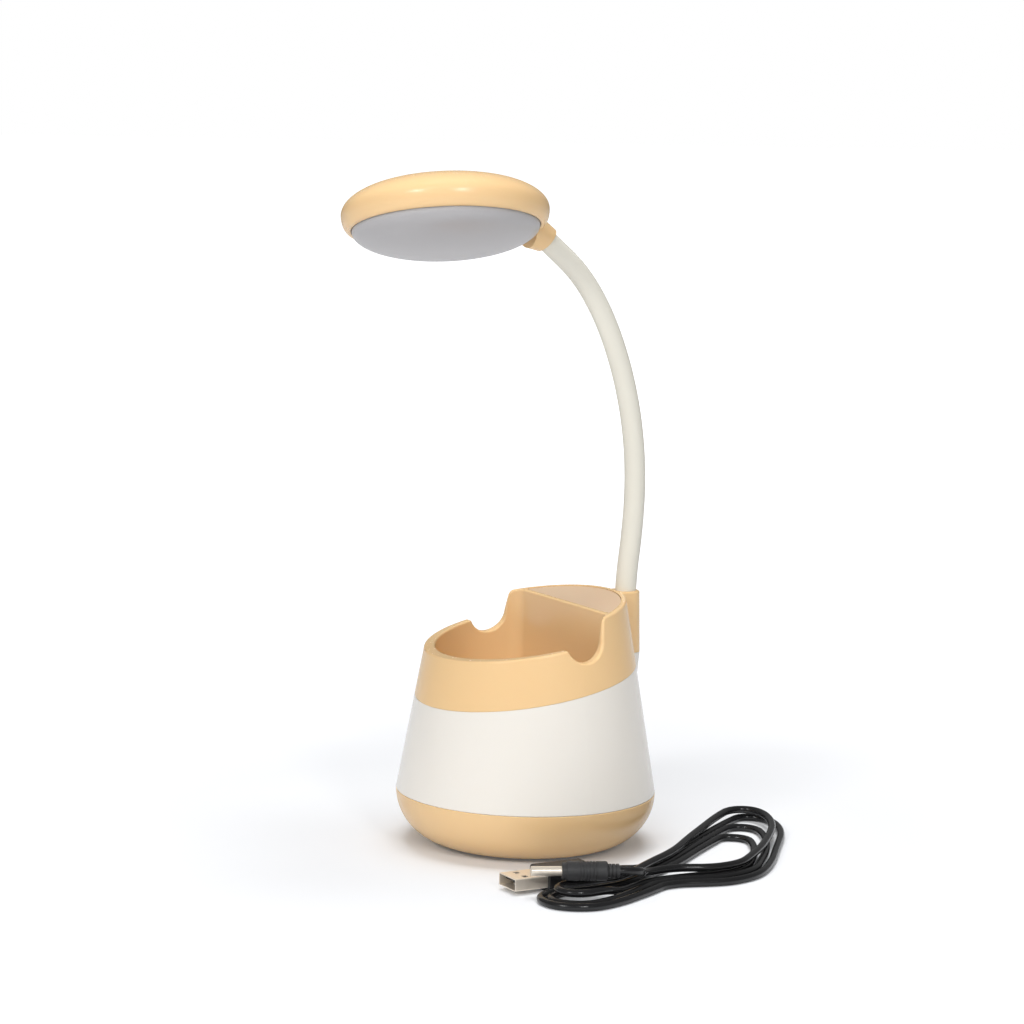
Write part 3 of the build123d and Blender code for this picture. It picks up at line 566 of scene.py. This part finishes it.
peach = {"colour": (0.85, 0.58, 0.3), "worn": (0.9, 0.68, 0.45), "drift": 0.03, "grain": 2600.0,
         "roughness": 0.25, "roughDrift": 0.04, "scuffs": 0.12, "dust": 0.05, "bump": (0.1, 0.00008),
         "softEdge": 0.0004, "glow": 0.06, "glowColour": (1.0, 0.5, 0.25), "gloss": 0.38}
# the lid is peach darkened as painted shade on its upward face, where the top lamp falls; its matter, grainier
# finish is its own
shadedPanel = {**peach, "colour": (0.7, 0.51, 0.345), "roughness": 0.44, "grain": 3200.0, "bump": (0.16, 0.00008)}
whitePlastic = {"colour": (0.84, 0.8, 0.735), "worn": (0.9, 0.89, 0.86), "drift": 0.02, "grain": 1500.0,
                "roughness": 0.2, "roughDrift": 0.05, "scuffs": 0.1, "dust": 0.04, "bump": (0.04, 0.00006),
                "softEdge": 0.0003, "glow": 0.08, "glowColour": (1.0, 0.85, 0.7), "gloss": 0.4, "coat": 0.15,
                "coatRoughness": 0.06}
milkyLens = {"colour": (0.44, 0.43, 0.435), "worn": (0.62, 0.62, 0.63), "drift": 0.02, "grain": 1800.0,
             "roughness": 0.3, "roughDrift": 0.05, "scuffs": 0.08, "dust": 0.04, "bump": (0.05, 0.00006),
             "softEdge": 0.0003, "glow": 0.35, "glowColour": (1.0, 1.0, 1.0)}
sleeveRubber = {"colour": (0.77, 0.745, 0.655), "worn": (0.84, 0.82, 0.75), "drift": 0.025, "grain": 3600.0,
                "roughness": 0.5, "roughDrift": 0.06, "scuffs": 0.08, "dust": 0.05, "bump": (0.18, 0.0001),
                "softEdge": 0, "gloss": 0.35}
padRubber = {"colour": (0.03, 0.03, 0.032), "worn": (0.12, 0.12, 0.12), "drift": 0.2, "grain": 2200.0,
             "roughness": 0.72, "roughDrift": 0.08, "scuffs": 0.4, "dust": 0.2, "bump": (0.4, 0.00015),
             "softEdge": 0.0002}
cableBlack = {"colour": (0.009, 0.009, 0.0095), "worn": (0.04, 0.04, 0.04), "drift": 0.1, "grain": 3400.0,
              "roughness": 0.24, "roughDrift": 0.06, "scuffs": 0.08, "dust": 0.015, "bump": (0.1, 0.00006),
              "softEdge": 0.00015}
innerBlack = {"colour": (0.022, 0.022, 0.024), "worn": (0.08, 0.08, 0.08), "drift": 0.15, "grain": 3000.0,
              "roughness": 0.42, "roughDrift": 0.08, "scuffs": 0.2, "dust": 0.08, "bump": (0.15, 0.00008),
              "softEdge": 0.0002}
plugBlack = {**innerBlack, "colour": (0.03, 0.03, 0.031), "roughness": 0.5, "softEdge": 0}
chipBlack = {**innerBlack, "roughness": 0.5, "grain": 4200.0}
plugWhite = {**whitePlastic, "roughness": 0.4, "coat": 0.0, "grain": 2600.0, "glow": 0.0}
cellWrap = {"colour": (0.03, 0.19, 0.42), "worn": (0.2, 0.36, 0.55), "drift": 0.06, "grain": 900.0,
            "roughness": 0.28, "roughDrift": 0.1, "scuffs": 0.3, "dust": 0.05, "bump": (0.1, 0.0001),
            "softEdge": 0.0002}
leadRed = {"colour": (0.5, 0.02, 0.018), "worn": (0.6, 0.15, 0.12), "drift": 0.08, "grain": 3000.0,
           "roughness": 0.4, "roughDrift": 0.06, "scuffs": 0.1, "dust": 0.03, "bump": (0.12, 0.00006),
           "softEdge": 0.0001}
steel = {"colour": (0.56, 0.56, 0.55), "tarnishColour": (0.3, 0.28, 0.25), "tarnish": 0.35, "grain": 1500.0,
         "roughness": 0.32, "streaks": 0.16, "bump": (0.12, 0.00006), "softEdge": 0.0002, "metallic": 1.0}
aluminium = {**steel, "colour": (0.82, 0.83, 0.84), "tarnishColour": (0.6, 0.6, 0.62), "roughness": 0.35}
plugMetal = {"colour": (0.93, 0.84, 0.72), "tarnishColour": (0.72, 0.6, 0.47), "tarnish": 0.2,
             "grain": 2400.0, "roughness": 0.33, "streaks": 0.1, "bump": (0.06, 0.00004),
             "softEdge": 0.00015, "metallic": 0.65}
brass = {**plugMetal, "colour": (0.78, 0.6, 0.28), "tarnishColour": (0.4, 0.25, 0.1), "metallic": 1.0}
copper = {**brass, "colour": (0.8, 0.42, 0.26), "tarnishColour": (0.35, 0.15, 0.09), "roughness": 0.3}
board = {"colour": (0.02, 0.16, 0.07), "track": (0.05, 0.3, 0.13), "trackPitch": 420.0,
         "trackRange": (0.42, 0.5), "weave": (1600.0, 2), "weaveShare": 0.25, "roughness": 0.35, "coat": 0.3,
         "coatRoughness": 0.15, "bump": (0.3, 0.00005)}
led = {"phosphor": (0.86, 0.62, 0.08), "frame": (0.85, 0.84, 0.8), "mottle": (2400.0, 3),
       "mottleRange": (0.3, 0.75), "roughness": 0.45, "bump": (0.2, 0.00005)}


def circuitBoard(name, look):
    plain = {"Roughness": look["roughness"], "Coat Weight": look["coat"], "Coat Roughness": look["coatRoughness"]}
    material, tree, shader = newMaterial(name, plain)
    place = objectPlace(tree)
    cells = tree.nodes.new("ShaderNodeTexVoronoi")
    cells.distance = "MANHATTAN"
    cells.inputs["Scale"].default_value = look["trackPitch"]
    tree.links.new(place, cells.inputs["Vector"])
    track = spread(tree, cells.outputs["Distance"], *look["trackRange"])
    weave = maths(tree, "MULTIPLY", noise(tree, place, *look["weave"]), look["weaveShare"])
    mask = maths(tree, "ADD", track, weave, clamp=True)
    tree.links.new(blendColours(tree, mask, look["track"], look["colour"]), shader.inputs["Base Color"])
    addBump(tree, shader, mask, look["bump"])
    return material


def ledFace(name, look):
    material, tree, shader = newMaterial(name, {"Roughness": look["roughness"]})
    mottle = noise(tree, objectPlace(tree), *look["mottle"])
    mask = spread(tree, mottle, *look["mottleRange"])
    tree.links.new(blendColours(tree, mask, look["phosphor"], look["frame"]), shader.inputs["Base Color"])
    addBump(tree, shader, mottle, look["bump"])
    return material


finishes = {
    "peach_plastic": mouldedPlastic("peachPlastic", peach),
    # the lid's finish carries painted shade: a darker copy of peach
    "peach_panel": mouldedPlastic("peachPanelShaded", shadedPanel),
    "white_plastic": mouldedPlastic("whitePlastic", whitePlastic),
    "soft_sleeve": mouldedPlastic("sleeveRubber", sleeveRubber),
    "pad_rubber": mouldedPlastic("padRubber", padRubber),
    "inner_black": mouldedPlastic("innerBlack", innerBlack),
    "cable_black": mouldedPlastic("cableBlack", cableBlack),
    "plug_black": mouldedPlastic("plugBlack", plugBlack),
    "chip_black": mouldedPlastic("chipBlack", chipBlack),
    "plug_white": mouldedPlastic("plugWhite", plugWhite),
    "cell_wrap": mouldedPlastic("cellWrap", cellWrap),
    "lead_red": mouldedPlastic("leadRed", leadRed),
    "plain_steel": metal("plainSteel", steel),
    "plug_metal": metal("plugMetal", plugMetal),
    "pin_brass": metal("pinBrass", brass),
    "copper_foil": metal("copperFoil", copper),
    "plate_aluminium": metal("plateAluminium", aluminium),
    "milky_lens": mouldedPlastic("milkyLens", milkyLens),
    "circuit_board": circuitBoard("circuitBoard", board),
    "led_yellow": ledFace("ledFace", led),
}
dullMouldings = ("dc_body", "dc_relief", "usb_body", "usb_relief")  # duller than the cable itself


def paint(thing, slotName):
    slots = thing.data.materials
    if len(slots) == 0:
        slots.append(finishes[slotName])
    for n in range(len(slots)):
        slots[n] = finishes[slotName]


slotOf = {entry["node"]: entry["material_slot"] for entry in frame["record"]["subparts"]}
for name, thing in nodes.items():
    paint(thing, "plug_black" if name in dullMouldings else slotOf[name])
paint(cord, "cable_black")
for sleeve, wire in neckLengths:
    paint(sleeve, "soft_sleeve")
    paint(wire, "lead_red")
print("finishes given to", len(nodes), "nodes")


# Floor, surroundings and lights

studio = {
    "floorSize": 30.0,
    "floorColour": (0.765, 0.775, 0.795),
    "floorLift": (0.08, 1.0),  # near the object and far from it
    "liftReach": (0.15, 1.5),
    "white": (1, 1, 1),
    "ambient": 0.17,  # what the surroundings give to matt surfaces
    "mirrored": 0.2,  # how bright they are in gloss
    "lamps": (
        # place, aims at, width, height, watts, mirrored in the object
        ((0.8, -1.58, 0.98), (0, 0, 0.13), 0.34, 0.2, 7.6, True),
        ((1.73, -0.32, 0.98), (0, 0, 0.13), 0.3, 0.18, 6.4, True),
        ((2.45, -2.2, 2.35), (0, 0, 0.12), 2.1, 1.7, 50.5, False),
        ((-0.1, 0.05, 4.5), (0, 0, 0.1), 2.6, 2.6, 154.0, False),
    ),
}


def emptyTree(owner):
    owner.use_nodes = True
    tree = owner.node_tree
    tree.nodes.clear()
    return tree


def seenDirectly(tree, rays):
    return maths(tree, "MAXIMUM", rays["Is Camera Ray"], rays["Is Transmission Ray"])


def makeFloor():
    half = studio["floorSize"] / 2
    mesh = bpy.data.meshes.new("studioFloor")
    corners = [(-half, -half, 0), (half, -half, 0), (half, half, 0), (-half, half, 0)]
    mesh.from_pydata(corners, [], [(0, 1, 2, 3)])
    floor = bpy.data.objects.new("studioFloor", mesh)
    scene.collection.objects.link(floor)
    material = bpy.data.materials.new("studioFloor")
    tree = emptyTree(material)
    out = tree.nodes.new("ShaderNodeOutputMaterial")
    surface = tree.nodes.new("ShaderNodeBsdfDiffuse")
    feed(tree, surface.inputs["Color"], studio["floorColour"])
    lift = tree.nodes.new("ShaderNodeEmission")
    feed(tree, lift.inputs["Color"], studio["white"])
    seen = seenDirectly(tree, tree.nodes.new("ShaderNodeLightPath").outputs)
    # the lift grows with the distance from the object, so that the floor runs into the white background
    far = tree.nodes.new("ShaderNodeVectorMath")
    far.operation = "LENGTH"
    tree.links.new(objectPlace(tree), far.inputs[0])
    low, high = studio["floorLift"]
    share = spread(tree, far.outputs["Value"], *studio["liftReach"])
    grown = maths(tree, "ADD", maths(tree, "MULTIPLY", share, high - low), low)
    feed(tree, lift.inputs["Strength"], maths(tree, "MULTIPLY", seen, grown))
    both = tree.nodes.new("ShaderNodeAddShader")
    tree.links.new(surface.outputs[0], both.inputs[0])
    tree.links.new(lift.outputs[0], both.inputs[1])
    tree.links.new(both.outputs[0], out.inputs["Surface"])
    mesh.materials.append(material)


def makeWorld():
    world = bpy.data.worlds.new("studioWorld")
    scene.world = world
    tree = emptyTree(world)
    out = tree.nodes.new("ShaderNodeOutputWorld")
    rays = tree.nodes.new("ShaderNodeLightPath").outputs
    dimmed = maths(tree, "MULTIPLY", rays["Is Glossy Ray"], studio["mirrored"] - studio["ambient"])
    unseen = maths(tree, "ADD", dimmed, studio["ambient"])
    surroundings = tree.nodes.new("ShaderNodeBackground")
    feed(tree, surroundings.inputs["Color"], studio["white"])
    strength = maths(tree, "MAXIMUM", seenDirectly(tree, rays), unseen)
    tree.links.new(strength, surroundings.inputs["Strength"])
    tree.links.new(surroundings.outputs[0], out.inputs["Surface"])


def makeLamps():
    for n, (place, target, width, height, watts, mirrored) in enumerate(studio["lamps"]):
        data = bpy.data.lights.new(f"softbox_{n + 1}", "AREA")
        data.shape = "RECTANGLE"
        data.size = width
        data.size_y = height
        data.energy = watts
        lamp = bpy.data.objects.new(f"softbox_{n + 1}", data)
        way = Vector(target) - Vector(place)
        lamp.matrix_world = Matrix.Translation(place) @ way.to_track_quat("-Z", "Y").to_matrix().to_4x4()
        lamp.visible_glossy = mirrored
        scene.collection.objects.link(lamp)


makeFloor()
makeWorld()
makeLamps()
scene.view_settings.view_transform = "Standard"
print("studio lit")


bpy.context.view_layer.update()
